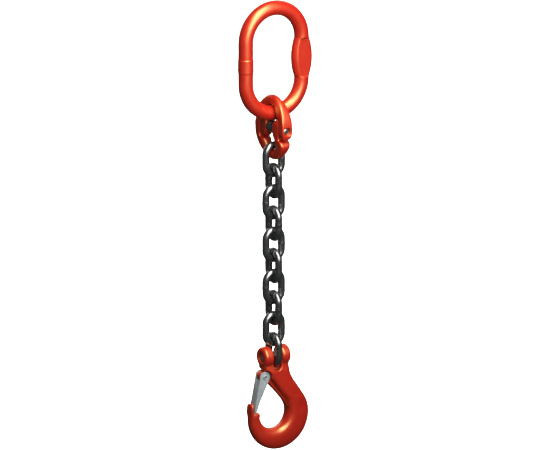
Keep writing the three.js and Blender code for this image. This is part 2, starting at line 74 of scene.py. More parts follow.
# Sizes in millimetres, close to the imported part's and nowhere outside its box
MASTER_WIRE_R = 10.5
MASTER_HALF_WIDTH = 46.25
MASTER_HALF_STRAIGHT = 29.25
WELD_BAND_R = 11.1
WELD_BAND_HALF = 9.5
WELD_BAND_MIDDLE = -2.5
FLAT_HALF_LENGTH = 27.0
FLAT_HALF_THICKNESS = 7.9
FLAT_BULGE = 16.4
FLAT_END_SPREAD = 0.7      # how much wider the squeezed wire already is where the flat ends
COUPLER_EAR_SPLIT_Y = 24.2
COUPLER_EAR_INNER_Y = 8.2
COUPLER_OUTER_Y = 37.0
COUPLER_PIN_R = 5.3
COUPLER_PIN_HALF = 34.0
SLEEVE_R = 8.4
LINK_WIRE_R = 5.3
LINK_HALF_WIDTH = 13.0
LINK_HALF_STRAIGHT = 7.95
WELD_BEAD_HEIGHT, WELD_BEAD_SPREAD = 0.30, 2.2
WELD_GROOVE_DEPTH, WELD_GROOVE_PLACE, WELD_GROOVE_SPREAD = 0.10, 3.6, 0.8
CLEVIS_PIN_R = 6.5
CLEVIS_PIN_HALF = 19.0
EAR_R = 14.95
EAR_OUTER_X = 21.6
EAR_EDGE_R = 4.6
SLOT_HALF_WIDTH = 6.7
SLOT_LIP_R = 4.0
SLOT_FLOOR = 19.4
HOOK_HALF_THICKNESS = 13.5
NECK_HALF_THICKNESS = 11.2
BOWL_INNER = (-2.2, -83.6, 23.3)
BOWL_OUTER = (7.0, -89.7, 49.4)
SHANK_TAPER = 0.2
BOWL_TAPER = 0.36
TIP_LEDGE_Z = -80.6
TIP_HALF_THICKNESS = 8.6
LUG_HALF_THICKNESS = 5.0
RETAINER_X, RETAINER_Z, RETAINER_R = 13.8, 6.4, 2.0
RETAINER_BORE_R = 1.1
PIVOT_X, PIVOT_Z = -19.0, -27.7
PIVOT_PIN_R = 2.4
LATCH_TOP_R = 8.0
LATCH_HALF_WIDTH = 7.8
LATCH_SHEET = 2.1
SPRING_WIRE_R = 0.55
SPRING_COIL_R = 3.8
SPRING_FLOOR_Y = 0.9
SPRING_LONG_LEG = 17.0
SPRING_SHORT_LEG = 6.5
SPRING_START = math.radians(167.5)
SPRING_END = math.radians(30 - 720)


def node_centre(node):
    low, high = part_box(node)
    return (Vector(low) + Vector(high)) / 2


# The places that shapes are drawn about
COUPLER_PIN = node_centre("coupler_load_pin")
CLEVIS_PIN = node_centre("clevis_load_pin")
MASTER_CENTRE = Vector((0, 0, node_centre("master_link").z))


# ---- Mesh helpers

def mesh_object(name, points, faces, place):
    """A smooth-shaded object from millimetre points about a place in metres."""
    mesh = bpy.data.meshes.new(name)
    world = np.asarray(points, dtype=float) * MM + np.array(place)
    mesh.from_pydata([tuple(p) for p in world], [], faces)
    mesh.update()
    obj = bpy.data.objects.new(name, mesh)
    bpy.context.scene.collection.objects.link(obj)
    return obj


def loft_faces(count, sides, closed):
    faces = []
    spans = count if closed else count - 1
    for i in range(spans):
        here = i * sides
        there = ((i + 1) % count) * sides
        for k in range(sides):
            nxt = (k + 1) % sides
            faces.append((here + k, here + nxt, there + nxt, there + k))
    if not closed:
        faces.append(tuple(reversed(range(sides))))
        last = (count - 1) * sides
        faces.append(tuple(range(last, last + sides)))
    return faces


def fix_normals(obj):
    bm = bmesh.new()
    bm.from_mesh(obj.data)
    bmesh.ops.remove_doubles(bm, verts=bm.verts, dist=1e-7)
    bmesh.ops.recalc_face_normals(bm, faces=bm.faces)
    bm.to_mesh(obj.data)
    bm.free()


def loft(name, rings, place, closed=False):
    """A skin through rings of points, closed on itself or capped at its ends."""
    rings = np.asarray(rings, dtype=float)
    count, sides = rings.shape[:2]
    obj = mesh_object(name, rings.reshape(-1, 3), loft_faces(count, sides, closed), place)
    fix_normals(obj)
    return obj


def shade(obj, angle=35):
    """Smooth shading, with edges sharper than the angle kept crisp."""
    mesh = obj.data
    mesh.polygons.foreach_set("use_smooth", [True] * len(mesh.polygons))
    mesh.set_sharp_from_angle(angle=math.radians(angle))


def turned(name, profile, axis, place, sides=72):
    """A turned piece: (radius, place along the axis) pairs, on the X or Y axis."""
    rings = []
    for k in range(sides):
        angle = TAU * k / sides
        c, s = math.cos(angle), math.sin(angle)
        if axis == "x":
            rings.append([(t, r * c, r * s) for r, t in profile])
        else:
            rings.append([(r * c, t, r * s) for r, t in profile])
    return loft(name, rings, place, closed=True)


def plate(name, outline, from_y, to_y, place):
    """A flat plate with an outline in the XZ plane."""
    near = [(x, from_y, z) for x, z in outline]
    far = [(x, to_y, z) for x, z in outline]
    return loft(name, [near, far], place)


def arc(x, z, radius, start, end, steps):
    """Points on an arc in the XZ plane, angles in degrees."""
    angles = np.radians(np.linspace(start, end, steps + 1))
    return [(x + radius * math.cos(a), z + radius * math.sin(a)) for a in angles]


def circle(radius, sides):
    return [(radius * math.cos(TAU * k / sides), radius * math.sin(TAU * k / sides)) for k in range(sides)]


def apply_modifiers(obj):
    """Turns what the modifiers show into the object's own mesh."""
    depsgraph = bpy.context.evaluated_depsgraph_get()
    evaluated = obj.evaluated_get(depsgraph)
    mesh = bpy.data.meshes.new_from_object(evaluated)
    old = obj.data
    obj.modifiers.clear()
    obj.data = mesh
    bpy.data.meshes.remove(old)


def combine(obj, operation, others):
    """Joins or cuts with other objects, which are used up."""
    for other in others:
        modifier = obj.modifiers.new("combine", "BOOLEAN")
        modifier.operation = operation
        modifier.object = other
        modifier.solver = "EXACT"
        apply_modifiers(obj)
        bpy.data.objects.remove(other)
    return obj


def forge(obj, voxel_mm, rounds):
    """Blends joined shapes into one skin with small fillets, as a forging has."""
    remesh = obj.modifiers.new("remesh", "REMESH")
    remesh.mode = "VOXEL"
    remesh.voxel_size = voxel_mm * MM
    relax = obj.modifiers.new("relax", "SMOOTH")
    relax.factor = 0.5
    relax.iterations = rounds
    apply_modifiers(obj)
    return obj


def bevel(obj, width_mm, angle=38, segments=3):
    modifier = obj.modifiers.new("bevel", "BEVEL")
    modifier.width = width_mm * MM
    modifier.segments = segments
    modifier.limit_method = "ANGLE"
    modifier.angle_limit = math.radians(angle)
    apply_modifiers(obj)
    return obj


def spline(stations, steps):
    """Catmull-Rom through given stations, all their columns together."""
    table = np.asarray(stations, dtype=float)
    padded = np.vstack([2 * table[0] - table[1], table, 2 * table[-1] - table[-2]])
    fine = []
    for i in range(1, len(padded) - 2):
        p0, p1, p2, p3 = padded[i - 1:i + 3]
        for t in np.linspace(0, 1, steps, endpoint=False):
            cubic = -p0 + 3 * p1 - 3 * p2 + p3
            square = 2 * p0 - 5 * p1 + 4 * p2 - p3
            fine.append(p1 + 0.5 * t * (p2 - p0 + t * (square + t * cubic)))
    fine.append(table[-1])
    return fine


def bar_ring(inner, outer, half_depth, depth_axis, roundness, sides, taper=0.0):
    """A ring across a bar, thinner outside by the taper. A roundness of 2 is an ellipse, more is squarer."""
    inner, outer = np.array(inner, dtype=float), np.array(outer, dtype=float)
    centre, half = (inner + outer) / 2, (outer - inner) / 2
    ring = []
    for k in range(sides):
        angle = TAU * (k + 0.5) / sides
        c, s = math.cos(angle), math.sin(angle)
        across = math.copysign(abs(c) ** (2 / roundness), c)
        thinned = half_depth * (1 - taper * (across + 1) / 2)
        deep = math.copysign(abs(s) ** (2 / roundness), s) * thinned
        ring.append(centre + half * across + np.array(depth_axis) * deep)
    return ring


def smooth_step(low, high, value):
    t = min(1.0, max(0.0, (value - low) / (high - low)))
    return t * t * (3 - 2 * t)


# ---- Materials

class Nodes:
    """Short ways to build one node material."""

    def __init__(self, name):
        self.material = bpy.data.materials.new(name)
        self.material.use_nodes = True
        self.tree = self.material.node_tree
        self.bsdf = self.tree.nodes["Principled BSDF"]
        self.coords = self.tree.nodes.new("ShaderNodeTexCoord").outputs["Object"]

    def link(self, source, target):
        self.tree.links.new(source, target)

    def noise(self, size_mm, detail=4.0, roughness=0.55, stretch=None):
        node = self.tree.nodes.new("ShaderNodeTexNoise")
        node.inputs["Scale"].default_value = 1 / (size_mm * MM)
        node.inputs["Detail"].default_value = detail
        node.inputs["Roughness"].default_value = roughness
        source = self.coords
        if stretch:
            mapping = self.tree.nodes.new("ShaderNodeMapping")
            mapping.inputs["Scale"].default_value = stretch
            self.link(self.coords, mapping.inputs["Vector"])
            source = mapping.outputs["Vector"]
        self.link(source, node.inputs["Vector"])
        return node.outputs["Fac"]

    def voronoi(self, size_mm):
        node = self.tree.nodes.new("ShaderNodeTexVoronoi")
        node.inputs["Scale"].default_value = 1 / (size_mm * MM)
        self.link(self.coords, node.inputs["Vector"])
        return node.outputs["Color"]

    def ramp(self, source, stops):
        node = self.tree.nodes.new("ShaderNodeValToRGB")
        ramp = node.color_ramp
        while len(ramp.elements) < len(stops):
            ramp.elements.new(0.5)
        for element, (place, value) in zip(ramp.elements, stops):
            element.position = place
            element.color = (*value, 1) if isinstance(value, tuple) else (value, value, value, 1)
        self.link(source, node.inputs["Fac"])
        return node.outputs["Color"]

    def mix(self, factor, first, second, blend="MIX"):
        node = self.tree.nodes.new("ShaderNodeMix")
        node.data_type = "RGBA"
        node.blend_type = blend
        for socket, value in ((node.inputs[0], factor), (node.inputs[6], first), (node.inputs[7], second)):
            if isinstance(value, bpy.types.NodeSocket):
                self.link(value, socket)
            elif isinstance(value, tuple):
                socket.default_value = (*value, 1)
            else:
                socket.default_value = value
        return node.outputs[2]

    def pointiness(self):
        return self.tree.nodes.new("ShaderNodeNewGeometry").outputs["Pointiness"]

    def bump(self, layers):
        """Stacks bump layers of (height source, height in millimetres)."""
        previous = None
        for source, height_mm in layers:
            node = self.tree.nodes.new("ShaderNodeBump")
            node.inputs["Distance"].default_value = height_mm * MM
            node.inputs["Strength"].default_value = 1.0
            self.link(source, node.inputs["Height"])
            if previous:
                self.link(previous, node.inputs["Normal"])
            previous = node.outputs["Normal"]
        self.link(previous, self.bsdf.inputs["Normal"])

    def set(self, **values):
        for key, value in values.items():
            socket = self.bsdf.inputs[key.replace("_", " ")]
            if isinstance(value, bpy.types.NodeSocket):
                self.link(value, socket)
            elif isinstance(value, tuple):
                socket.default_value = (*value, 1)
            else:
                socket.default_value = value


def paint_material():
    """Red-orange paint on a forging: its gloss is warm, with a painted highlight of lighter orange on sharp
    edges and painted shade darkening the recesses.
    """
    n = Nodes("red_orange_paint")
    patches = n.ramp(n.noise(38, 3), [(0.3, (0.48, 0.005, 0.006)), (0.7, (0.55, 0.008, 0.007))])
    mottle = n.ramp(n.noise(4.5, 5), [(0.25, (0.41, 0.004, 0.005)), (0.6, (0.54, 0.008, 0.007))])
    base = n.mix(0.35, patches, mottle)
    # Painted highlight: sharp convex edges turn a lighter orange, broken into patches by noise.
    edges = n.ramp(n.pointiness(), [(0.515, 0.0), (0.56, 1.0)])
    edge_highlight_patches = n.ramp(n.noise(2.2, 6), [(0.45, 0.0), (0.7, 0.55)])
    painted_highlight_mask = n.mix(1.0, edges, edge_highlight_patches, "MULTIPLY")
    base = n.mix(painted_highlight_mask, base, (0.66, 0.08, 0.03))
    # Painted shade: concave recesses turn a nearly black red, as occlusion would darken them.
    painted_hollow_shade = n.ramp(n.pointiness(), [(0.44, 1.0), (0.49, 0.0)])
    painted_shade_mask = n.mix(1.0, painted_hollow_shade, (0.6, 0.6, 0.6), "MULTIPLY")
    base = n.mix(painted_shade_mask, base, (0.12, 0.006, 0.004))
    roughness = n.ramp(n.noise(7, 5), [(0.3, 0.33), (0.7, 0.41)])
    n.set(Base_Color=base, Roughness=roughness, Metallic=0.0)
    n.set(IOR=2.0, Specular_IOR_Level=1.0, Specular_Tint=(1.0, 0.70, 0.30))
    n.bump([(n.noise(1.3, 2), 0.035), (n.noise(6, 3), 0.10)])
    return n.material


def chain_material():
    """Black finish on steel wire, with a faint scale and rubbed bright patches."""
    n = Nodes("black_chain_finish")
    base = n.ramp(n.noise(3.0, 6), [(0.3, (0.006, 0.008, 0.008)), (0.75, (0.020, 0.023, 0.023))])
    rub = n.ramp(n.noise(1.4, 7, 0.7), [(0.62, 0.0), (0.8, 0.5)])
    base = n.mix(rub, base, (0.09, 0.10, 0.10))
    roughness = n.ramp(n.noise(2.4, 5), [(0.3, 0.24), (0.7, 0.34)])
    n.set(Base_Color=base, Roughness=roughness, Metallic=0.0, Coat_Weight=0.3)
    n.set(Coat_Roughness=0.16, IOR=2.1, Specular_IOR_Level=1.0, Specular_Tint=(0.94, 0.98, 1.0))
    n.bump([(n.noise(0.9, 4), 0.05), (n.noise(5, 3), 0.10)])
    return n.material


def zinc_material():
    """Dull zinc plate on pressed sheet, with a faint crystal pattern and rolling lines."""
    n = Nodes("zinc_plate")
    spangle = n.ramp(n.voronoi(2.6), [(0.2, (0.37, 0.44, 0.48)), (0.8, (0.48, 0.55, 0.58))])
    cloud = n.ramp(n.noise(9, 4), [(0.3, (0.34, 0.41, 0.44)), (0.7, (0.50, 0.57, 0.60))])
    base = n.mix(0.6, spangle, cloud)
    roughness = n.ramp(n.noise(3, 5), [(0.3, 0.34), (0.7, 0.52)])
    n.set(Base_Color=base, Roughness=roughness, Metallic=0.25, Specular_IOR_Level=0.6)
    n.bump([(n.noise(1.0, 4, stretch=(1.0, 1.0, 0.15)), 0.035)])
    return n.material


def turned_steel_material():
    """Turned pin steel with fine tool rings and a little brown oil film."""
    n = Nodes("turned_steel")
    base = n.ramp(n.noise(4, 5), [(0.3, (0.50, 0.46, 0.39)), (0.7, (0.66, 0.63, 0.57))])
    roughness = n.ramp(n.noise(2, 4), [(0.3, 0.24), (0.7, 0.36)])
    n.set(Base_Color=base, Roughness=roughness, Metallic=1.0)
    n.bump([(n.noise(0.6, 3, stretch=(1.0, 4.0, 1.0)), 0.03)])
    return n.material


def spring_steel_material():
    """Drawn spring wire, blued and slightly streaked along its length."""
    n = Nodes("spring_steel")
    base = n.ramp(n.noise(2, 5), [(0.3, (0.26, 0.28, 0.31)), (0.7, (0.42, 0.44, 0.46))])
    roughness = n.ramp(n.noise(1.2, 4), [(0.3, 0.22), (0.7, 0.38)])
    n.set(Base_Color=base, Roughness=roughness, Metallic=0.95)
    n.bump([(n.noise(0.5, 3), 0.02)])
    return n.material


def floor_material():
    """Matt near-white, lit by its own light alone."""
    n = Nodes("pale_floor")
    base = n.ramp(n.noise(400, 2), [(0.3, (0.86, 0.86, 0.86)), (0.7, (0.90, 0.90, 0.90))])
    n.set(Base_Color=base, Roughness=0.8)
    return n.material


# ---- Finishing a piece

def hand_over(obj, node, body, material, angle=35):
    """Shades a piece, gives it its material and puts it in its node's place on a body."""
    shade(obj, angle)
    obj.data.materials.clear()
    obj.data.materials.append(material)
    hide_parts(node)
    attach(obj, body)
    return obj


# ---- Oblong links

def oblong_path(half_width, half_straight, arc_steps, leg_places):
    """Stations round an oblong in the XZ plane: place, outward direction, leg side and height."""
    stations = []
    for side, centre, start in ((1, half_straight, 0.0), (-1, -half_straight, math.pi)):
        for z in leg_places:
            stations.append(((side * half_width, side * z), (side, 0.0), side, side * z))
        for i in range(arc_steps + 1):
            angle = start + math.pi * i / arc_steps
            c, s = math.cos(angle), math.sin(angle)
            stations.append(((half_width * c, centre + half_width * s), (c, s), 0, 0.0))
    return stations


def ring_about(station, section):
    """Places a section of (outward, along Y) pairs at a station."""
    (x, z), (dx, dz) = station[0], station[1]
    return [(x + dx * u, v, z + dz * u) for u, v in section]


def soft_limit(value, limit, softness):
    """Holds a value under a limit with a small rounding where it meets it."""
    over = (abs(value) - limit) / softness
    eased = limit - softness * math.log1p(math.exp(-over)) if over > -30 else abs(value)
    return math.copysign(max(0.0, min(abs(value), eased)), value)


def master_section(side, z, sides):
    if side == 1 and abs(z) < FLAT_HALF_LENGTH + 2.0:
        t = min(1.0, abs(z) / FLAT_HALF_LENGTH)
        pressed = 1 - smooth_step(FLAT_HALF_LENGTH - 0.3, FLAT_HALF_LENGTH + 1.7, abs(z))
        swell = FLAT_END_SPREAD + (FLAT_BULGE - MASTER_WIRE_R - FLAT_END_SPREAD) * (1 - t * t)
        width = MASTER_WIRE_R + pressed * swell
        limit = MASTER_WIRE_R + pressed * (FLAT_HALF_THICKNESS - MASTER_WIRE_R)
        section = []
        for k in range(sides):
            angle = TAU * k / sides
            v = MASTER_WIRE_R * math.sin(angle)
            if pressed > 0:
                v = soft_limit(v, limit + 0.02, 0.16 * pressed + 0.01)
            section.append((width * math.cos(angle), v))
        return section
    radius = MASTER_WIRE_R
    if side == -1:
        from_band = abs(z - WELD_BAND_MIDDLE) - WELD_BAND_HALF
        inside = 1 - smooth_step(-0.5, 0.9, from_band)
        radius += (WELD_BAND_R - MASTER_WIRE_R) * inside
    return circle(radius, sides)


def build_master_link(material):
    coarse = np.linspace(-MASTER_HALF_STRAIGHT + 0.5, MASTER_HALF_STRAIGHT - 0.5, 60)
    steps = np.linspace(-1, 2.4, 14)
    band_edges = [s * (WELD_BAND_HALF + d) - WELD_BAND_MIDDLE for s in (-1, 1) for d in steps]
    flat_edges = [s * (FLAT_HALF_LENGTH + d) for s in (-1, 1) for d in np.linspace(-1.6, 1.9, 14)]
    places = sorted([*coarse, *band_edges, *flat_edges])
    stations = oblong_path(MASTER_HALF_WIDTH, MASTER_HALF_STRAIGHT, 72, places)
    rings = [ring_about(s, master_section(s[2], s[3], 96)) for s in stations]
    obj = loft("master_link_forging", rings, MASTER_CENTRE, closed=True)
    return hand_over(obj, "master_link", "master", material, 50)


def build_chain_links(material):
    """The links, alternately in the XZ and the YZ plane, each with its flash weld on one leg."""
    names = sorted(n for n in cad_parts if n.startswith("chain_link_"))
    for index, node in enumerate(names):
        weld_side = 1 if index % 4 < 2 else -1
        rings = []
        places = np.linspace(-LINK_HALF_STRAIGHT + 0.2, LINK_HALF_STRAIGHT - 0.2, 22)
        for station in oblong_path(LINK_HALF_WIDTH, LINK_HALF_STRAIGHT, 36, places):
            radius = LINK_WIRE_R - 0.02
            if station[2] == weld_side:
                off_groove = abs(station[3]) - WELD_GROOVE_PLACE
                radius += WELD_BEAD_HEIGHT * math.exp(-(station[3] / WELD_BEAD_SPREAD) ** 2)
                radius -= WELD_GROOVE_DEPTH * math.exp(-(off_groove / WELD_GROOVE_SPREAD) ** 2)
            section = circle(radius, 36)
            rings.append(ring_about(station, section))
        if index % 2:
            rings = [[(-y, x, z) for x, y, z in ring] for ring in rings]
        obj = loft(node + "_wire", rings, node_centre(node), closed=True)
        hand_over(obj, node, "link_" + node[-2:], material, 60)


# ---- Coupling link

# One half, bow up: [outer y, outer z, inner y, inner z, half-thickness, roundness], from the end of
# its outer ear over the bow to the end of its inner ear, about the load pin
COUPLER_HALF = [
    [-32.8, -13.0, -25.2, -13.0, 1.2, 3.0],
    [-35.0, -11.6, -24.5, -11.6, 4.8, 4.5],
    [-36.2, -8.6, -24.5, -8.6, 7.3, 6.0],
    [-36.9, -3.0, -24.5, -3.0, 8.6, 7.0],
    [-36.9, 5.0, -24.5, 5.0, 8.6, 7.0],
    [-36.2, 13.0, -24.4, 16.6, 8.5, 6.5],
    [-33.6, 22.0, -18.0, 18.6, 8.2, 5.0],
    [-28.6, 31.0, -14.6, 21.4, 7.6, 3.6],
    [-20.6, 39.0, -10.6, 27.4, 6.9, 2.5],
    [-10.6, 44.9, -5.6, 30.6, 6.3, 2.2],
    [0.0, 46.7, 0.0, 31.6, 6.2, 2.2],
    [10.6, 44.9, 5.6, 30.6, 6.3, 2.2],
    [20.6, 39.0, 10.6, 27.4, 6.9, 2.5],
    [28.6, 31.0, 14.4, 21.4, 7.6, 3.6],
    [32.4, 22.8, 13.2, 18.0, 8.2, 5.0],
    [30.0, 16.9, 12.6, 15.0, 8.6, 6.5],
    [COUPLER_EAR_SPLIT_Y, 13.6, 11.0, 12.0, 8.6, 7.0],
    [COUPLER_EAR_SPLIT_Y, 8.0, COUPLER_EAR_INNER_Y, 8.0, 8.6, 7.0],
    [COUPLER_EAR_SPLIT_Y, -6.0, COUPLER_EAR_INNER_Y, -6.0, 8.6, 7.0],
    [COUPLER_EAR_SPLIT_Y, -9.5, 10.5, -9.5, 8.0, 6.0],
    [COUPLER_EAR_SPLIT_Y, -13.0, 12.2, -13.0, 6.0, 4.5],
    [23.4, -16.0, 13.0, -16.0, 1.2, 3.0],
]


def build_coupler_half(name, node, body, turn, material):
    rings = []
    for outer_y, outer_z, inner_y, inner_z, half_x, roundness in spline(COUPLER_HALF, 6):
        ring = bar_ring((0, inner_y, inner_z), (0, outer_y, outer_z), half_x, (1, 0, 0), roundness, 48)
        rings.append([(x, turn * y, turn * z) for x, y, z in ring])
    obj = forge(loft(name, rings, COUPLER_PIN), 0.5, 3)
    far = COUPLER_OUTER_Y + 4
    face = COUPLER_OUTER_Y - 0.4
    bore = COUPLER_PIN_R + 0.3
    profile = [(0, -far), (bore + 5.5, -far), (bore + 1.0, -face), (bore, -face + 1.2)]
    mirrored = [(r, -t) for r, t in reversed(profile)]
    cutter = turned(name + "_bore", profile + mirrored, "y", COUPLER_PIN, 64)
    combine(obj, "DIFFERENCE", [cutter])
    return hand_over(obj, node, body, material, 40)


def build_coupler(paint, steel, black):
    build_coupler_half("coupler_upper_forging", "coupler_upper_half", "coupler_upper", 1, paint)
    build_coupler_half("coupler_lower_forging", "coupler_lower_half", "coupler_lower", -1, paint)
    half, r = COUPLER_PIN_HALF, COUPLER_PIN_R
    end = [(0, half), (r - 1.9, half), (r - 1.3, half - 0.2), (r - 0.3, half - 1.1), (r, half - 1.6)]
    ring_grooves = [(r, 2.6), (r - 0.7, 2.0), (r - 0.7, -2.0), (r, -2.6)]
    profile = [*end, *ring_grooves, *[(radius, -t) for radius, t in reversed(end)]]
    pin = turned("coupler_pin", profile, "y", COUPLER_PIN)
    hand_over(pin, "coupler_load_pin", "coupler_upper", steel)
    half = COUPLER_EAR_INNER_Y - 0.6
    bore = COUPLER_PIN_R + 0.3
    outside = [(SLEEVE_R - 0.9, -half), (SLEEVE_R - 0.25, -half + 0.25), (SLEEVE_R, -half + 0.9)]
    outside += [(SLEEVE_R, -1.3), (SLEEVE_R - 0.5, -0.8), (SLEEVE_R - 0.5, 0.8), (SLEEVE_R, 1.3)]
    outside += [(r, -t) for r, t in reversed(outside[:3])]
    profile = [(bore, half - 0.5), (bore, -half + 0.5), (bore + 0.5, -half), *outside, (bore + 0.5, half)]
    sleeve = turned("coupler_sleeve", profile, "y", COUPLER_PIN)
    hand_over(sleeve, "coupler_locking_sleeve", "coupler_upper", black)


# ---- Hook

def hook_bar():
    """The hook's bar from the clevis down the shank, round the bowl and up to the tip."""
    thick = HOOK_HALF_THICKNESS
    neck = NECK_HALF_THICKNESS
    stations = [
        [-20.5, 0, 20.5, 0, neck, 4.5],
        [-20.7, -8.5, 20.6, -8.5, neck, 4.5],
        [-20.4, -15.5, 21.2, -15.5, neck + 1, 4.8],
        [-17.8, -20.4, 22.0, -20.9, thick - 0.3, 5.0],
        [-14.5, -24.4, 23.4, -27.4, thick, 5.0],
        [-7.5, -33.9, 28.4, -36.4, thick, 4.8],
        [1.0, -45.4, 36.0, -46.9, thick, 4.5],
        [9.2, -55.8, 43.4, -57.4, thick, 4.0],
        [15.5, -63.9, 50.0, -67.4, thick + 0.2, 3.6],
    ]
    count = len(stations)
    stations = [[*station, SHANK_TAPER * i / count] for i, station in enumerate(stations)]
    steps = 17
    for i in range(steps + 1):
        t = i / steps
        angle = math.radians(14 - 184 * t)
        narrowing = smooth_step(0.45, 1.0, t)
        half_y = (thick + 0.5) * (1 - narrowing) + TIP_HALF_THICKNESS * narrowing
        inner_x, inner_z, inner_r = BOWL_INNER
        outer_x, outer_z, outer_r = BOWL_OUTER
        c, s = math.cos(angle), math.sin(angle)
        roundness = 3.4 - 1.0 * min(1, 2 * t)
        stations.append([inner_x + inner_r * c, inner_z + inner_r * s,
                         outer_x + outer_r * c, outer_z + outer_r * s,
                         half_y, roundness, BOWL_TAPER * (1 - narrowing)])
    stations.append([-24.9, -84.4, -42.3, -84.8, TIP_HALF_THICKNESS, 2.6, 0])
    stations.append([-25.4, TIP_LEDGE_Z, -42.1, TIP_LEDGE_Z, TIP_HALF_THICKNESS - 0.5, 2.8, 0])
    rings = []
    for inner_x, inner_z, outer_x, outer_z, half_y, roundness, taper in spline(stations, 5):
        inner, outer = (inner_x, 0, inner_z), (outer_x, 0, outer_z)
        rings.append(bar_ring(inner, outer, half_y, (0, 1, 0), roundness, 64, taper))
    return loft("hook_forging", rings, CLEVIS_PIN)


def tip_lip():
    """The lip outside the latch's tip."""
    # [inner x, outer x, z, half-thickness]
    stations = [
        [-36.6, -41.2, -87.4, 6.4],
        [-37.0, -42.0, -80.4, 7.8],
        [-37.0, -41.9, -75.4, 8.0],
        [-36.5, -41.6, -70.4, 7.8],
        [-36.1, -41.0, -67.6, 6.8],
        [-36.6, -40.2, -65.8, 4.6],
    ]
    rings = [bar_ring((a, 0, z), (b, 0, z), half_y, (0, 1, 0), 2.8, 32)
             for a, b, z, half_y in spline(stations, 5)]
    return loft("tip_lip", rings, CLEVIS_PIN)


def clevis_boss():
    """Both round bosses of the clevis, each rounded on its outer edge and towards the slot."""
    lip = SLOT_LIP_R
    inner = arc(SLOT_HALF_WIDTH + lip, EAR_R - lip, lip, 180, 90, 6)
    outer = arc(EAR_OUTER_X - EAR_EDGE_R, EAR_R - EAR_EDGE_R, EAR_EDGE_R, 90, 0, 8)
    half = [(radius, place) for place, radius in inner + outer]
    profile = [(0, -EAR_OUTER_X), *[(r, -t) for r, t in reversed(half)], *half, (0, EAR_OUTER_X)]
    return turned("clevis_boss", profile, "x", CLEVIS_PIN, 72)


def latch_lug():
    """The thin lug and front edge of the shank that the latch closes round."""
    outline = arc(PIVOT_X, PIVOT_Z, LATCH_TOP_R - 0.7, 81, 315, 30)
    outline += [(-6.5, -43.5), (5, -56.1), (13.7, -66.7), (19.6, -76.4)]
    outline += [(32, -79.4), (14, -41.4), (0, -21.4), (-10, -15.4)]
    return plate("latch_lug", outline, -LUG_HALF_THICKNESS, LUG_HALF_THICKNESS, CLEVIS_PIN)


def clevis_slot():
    """The cutter for the slot between the ears, which the last link hangs in."""
    round_z = -SLOT_FLOOR + SLOT_HALF_WIDTH
    above, beside = 24, 20      # past the ears every way
    outline = [(SLOT_HALF_WIDTH, above), (-SLOT_HALF_WIDTH, above)]
    outline += arc(0, round_z, SLOT_HALF_WIDTH, 180, 360, 24)
    return plate("clevis_slot", outline, -beside, beside, CLEVIS_PIN)


def slot_chamfer(side):
    """Opens the slot's rounded floor out towards the front or the back face."""
    rings = []
    for y, grow in ((11.5, 0.0), (HOOK_HALF_THICKNESS + 1.5, 2.2)):
        reach = SLOT_HALF_WIDTH + grow
        lower = arc(0, -SLOT_FLOOR + SLOT_HALF_WIDTH, reach, 200, 340, 20)
        rings.append([(x, side * y, z) for x, z in lower])
    return loft("slot_chamfer", rings, CLEVIS_PIN)


def drill(axis, from_place, to_place, radius, x=0.0, z=0.0):
    profile = [(0, from_place), (radius, from_place), (radius, to_place), (0, to_place)]
    return turned("drill", profile, axis, CLEVIS_PIN + Vector((x, 0, z)) * MM, 48)


def pin_bore():
    """The clevis bore, with a countersink in each outer face."""
    bore = CLEVIS_PIN_R + 0.3
    face = EAR_OUTER_X - 0.1
    profile = [(0, -28), (bore + 7.5, -28), (bore + 1.1, -face), (bore, -face + 1.1)]
    profile += [(r, -t) for r, t in reversed(profile)]
    return turned("pin_bore", profile, "x", CLEVIS_PIN, 72)


def build_hook_body(material):
    lug_face = LUG_HALF_THICKNESS
    body = combine(hook_bar(), "UNION", [clevis_boss(), tip_lip()])
    far = HOOK_HALF_THICKNESS + 3
    pockets = [drill("y", side * (lug_face - 0.4), side * far, LATCH_TOP_R + 1.8, PIVOT_X, PIVOT_Z)
               for side in (-1, 1)]
    combine(body, "DIFFERENCE", pockets)
    combine(body, "UNION", [latch_lug()])
    combine(body, "DIFFERENCE", [clevis_slot(), slot_chamfer(-1), slot_chamfer(1)])
    forge(body, 0.6, 6)
    floor, open_y = SPRING_FLOOR_Y, lug_face + 1
    coil_room = drill("y", floor, open_y, SPRING_COIL_R + SPRING_WIRE_R + 0.7, PIVOT_X, PIVOT_Z)
    pivot = CLEVIS_PIN + Vector((PIVOT_X, 0, PIVOT_Z)) * MM
    leg_room = plate("leg_room", [(-5.4, 2), (-10, 0), (-10, -10), (2, -10), (1, 0)], floor, open_y, pivot)
    groove = plate("groove", [(3.8, 3.4), (8.4, -4.6), (6.6, -5.7), (1.9, 2.3)], 3.7, open_y, pivot)
    holes = [
        pin_bore(),
        drill("y", -4.3, 20, RETAINER_R + 0.3, RETAINER_X, RETAINER_Z),
        drill("y", -lug_face - 3, lug_face + 3, PIVOT_PIN_R + 0.3, PIVOT_X, PIVOT_Z),
    ]
    combine(body, "DIFFERENCE", [coil_room, leg_room, groove, *holes])
    return hand_over(body, "hook_body", "hook", material, 40)


